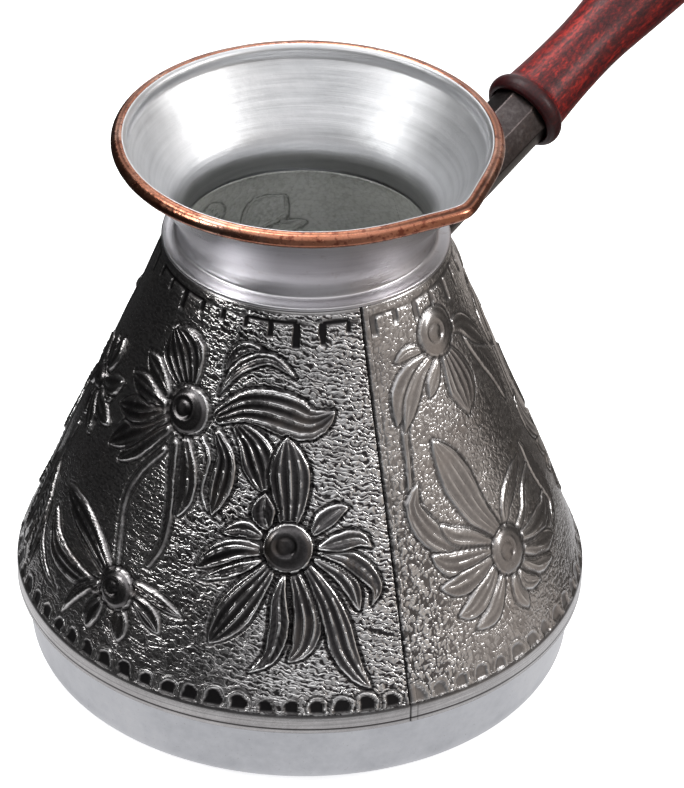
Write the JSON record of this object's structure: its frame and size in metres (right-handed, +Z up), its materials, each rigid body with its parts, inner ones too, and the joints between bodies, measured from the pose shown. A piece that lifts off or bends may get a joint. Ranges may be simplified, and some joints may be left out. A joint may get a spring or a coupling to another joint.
{
  "type": "turkish coffee pot",
  "caption": "Long-handled copper coffee pot with an embossed seamed cone body, shallow pan base, flared pouring neck and a bolted turned-wood grip.",
  "frame": {"origin": "on the pot's axis at the underside of the pan", "axes": "+Z up along the pot's axis, +X towards the side the handle leaves from, pouring lip towards -Y"},
  "size_m": [0.2351, 0.108, 0.1291],
  "materials": {
    "tinned_pan": "tin-washed copper, worn satin",
    "embossed_copper": "blackened and rubbed embossed tinned copper",
    "tinned_neck": "lathe-brushed tin",
    "rim_copper": "polished raw copper, darkened in the folds",
    "steel_wire": "plain drawn steel",
    "dark_bracket": "darkened tinned copper",
    "lacquered_wood": "dark red lacquer, gloss",
    "brass_end": "satin brass",
    "steel_bolt": "satin steel"
  },
  "bodies": {
    "pot": {"base_pan": "tinned_pan", "body_sheet_front": "embossed_copper", "body_sheet_spout": "embossed_copper", "body_sheet_rear": "embossed_copper", "neck_funnel": "tinned_neck", "rim_roll": "rim_copper", "rim_wire": "steel_wire", "handle_bracket": "dark_bracket", "bracket_nut": "steel_wire"},
    "grip": {"handle_grip": "lacquered_wood", "end_ferrule": "brass_end"},
    "bolt": {"eye_bolt": "steel_bolt"},
    "ring": {"hanging_ring": "brass_end"}
  },
  "joints": [
    {"name": "grip_withdraw", "type": "slide", "parent": "pot", "child": "grip", "axis": [0.9466, 0, 0.3223], "range_m": [0, 0.0056]},
    {"name": "bolt_turn", "type": "hinge", "parent": "grip", "child": "bolt", "pos_m": [0, 0, 0.0648], "axis": [0.9466, 0, 0.3223], "range_deg": [0, 2880]},
    {"name": "ring_swing", "type": "hinge", "parent": "bolt", "child": "ring", "pos_m": [0.17733, 0, 0.12517], "axis": [0, 1, 0], "range_deg": [-100, 25]}
  ],
  "couplings": [
    {"joint": "bolt_turn", "follows": "grip_withdraw", "rad_per_m": 7854}
  ]
}
